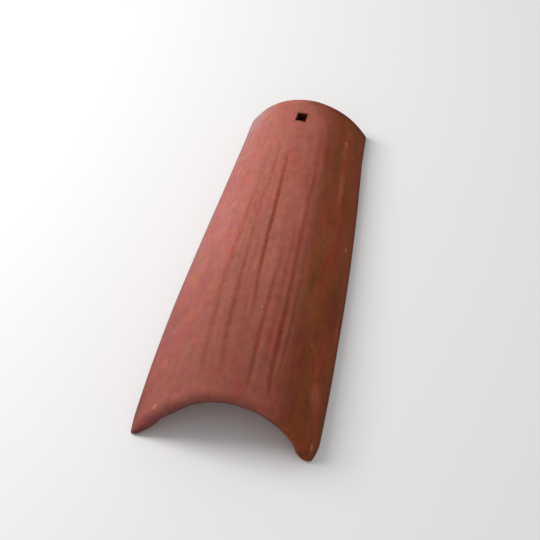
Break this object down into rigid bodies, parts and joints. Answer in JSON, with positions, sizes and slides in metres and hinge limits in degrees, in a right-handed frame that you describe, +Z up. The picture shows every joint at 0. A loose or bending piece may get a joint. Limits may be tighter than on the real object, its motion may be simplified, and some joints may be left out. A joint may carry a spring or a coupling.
{
  "type": "tapered barrel roof tile",
  "caption": "Tapered half-barrel roof tile of fired clay, laid convex side up, with a four-sided nail hole near its narrow end and shallow marks dragged along its crown.",
  "frame": {"origin": "on the ground under the middle of the tile's footprint", "axes": "+Y along the tile from its wide end to its narrow end, +Z up through the crown, +X across it to the right seen from the wide end"},
  "size_m": [0.1892, 0.4546, 0.0662],
  "materials": {
    "fired_clay": "matt unglazed brick-red terracotta with paler flanks, drag marks and small speckles"
  },
  "bodies": {
    "root": {"barrel_tile": "fired_clay"}
  },
  "joints": []
}
